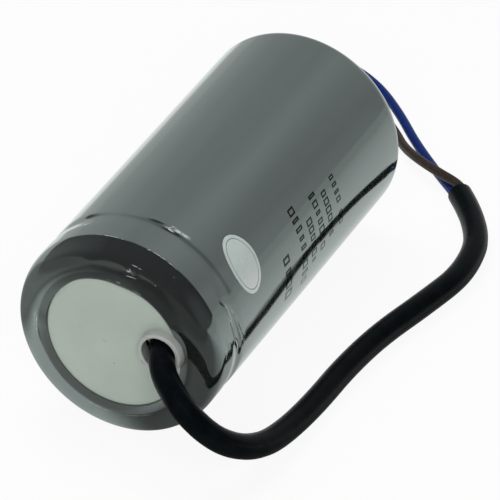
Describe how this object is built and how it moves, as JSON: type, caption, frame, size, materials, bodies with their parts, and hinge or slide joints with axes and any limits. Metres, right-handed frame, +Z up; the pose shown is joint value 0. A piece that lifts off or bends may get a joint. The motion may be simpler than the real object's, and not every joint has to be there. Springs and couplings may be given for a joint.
{
  "type": "motor start capacitor",
  "caption": "Cylindrical motor capacitor lying on its side: film-sleeved metal can, moulded end cover with an off-centre collar, and a flexible lead that splits into insulated cores.",
  "frame": {"origin": "on the surface it lies on, under the middle of the can and its collar, without the free lead", "axes": "+Y along the can's axis, from the cover end to the base end; +Z up; the lead lies on the +X side"},
  "size_m": [0.0828, 0.1738, 0.05],
  "materials": {
    "film_sleeve": "glossy shrink film",
    "can_metal": "drawn, satin",
    "cover_plastic": "moulded, fine matt",
    "seal_rubber": "matt",
    "roll_film": "metallised film edge",
    "tube_plastic": "extruded",
    "wrap_film": "clear wrap",
    "sprayed_metal": "rough sprayed",
    "pad_board": "pressed board",
    "sheath_black": "soft matt",
    "core_blue": "semi-gloss",
    "core_brown": "semi-gloss",
    "tinned_copper": "tinned strands",
    "tie_nylon": "moulded",
    "splice_metal": "tinned, crimped",
    "solder_metal": "bright",
    "label_paper": "coated paper"
  },
  "bodies": {
    "root": {"sleeve": "film_sleeve", "can": "can_metal", "end_cover": "cover_plastic", "gasket": "seal_rubber", "winding": "roll_film", "winding_tube": "tube_plastic", "winding_wrap": "wrap_film", "contact_front": "sprayed_metal", "contact_back": "sprayed_metal", "front_pad": "pad_board", "base_pad": "pad_board", "cord_sheath": "sheath_black", "cord_tie": "tie_nylon", "core_blue": "core_blue", "core_brown": "core_brown", "core_blue_inner": "core_blue", "core_brown_inner": "core_brown", "tip_blue": "tinned_copper", "tip_brown": "tinned_copper", "splice_blue": "splice_metal", "splice_brown": "splice_metal", "lead_front": "tinned_copper", "lead_back": "tinned_copper", "solder_front": "solder_metal", "solder_back": "solder_metal", "oval_label": "label_paper"}
  },
  "joints": []
}
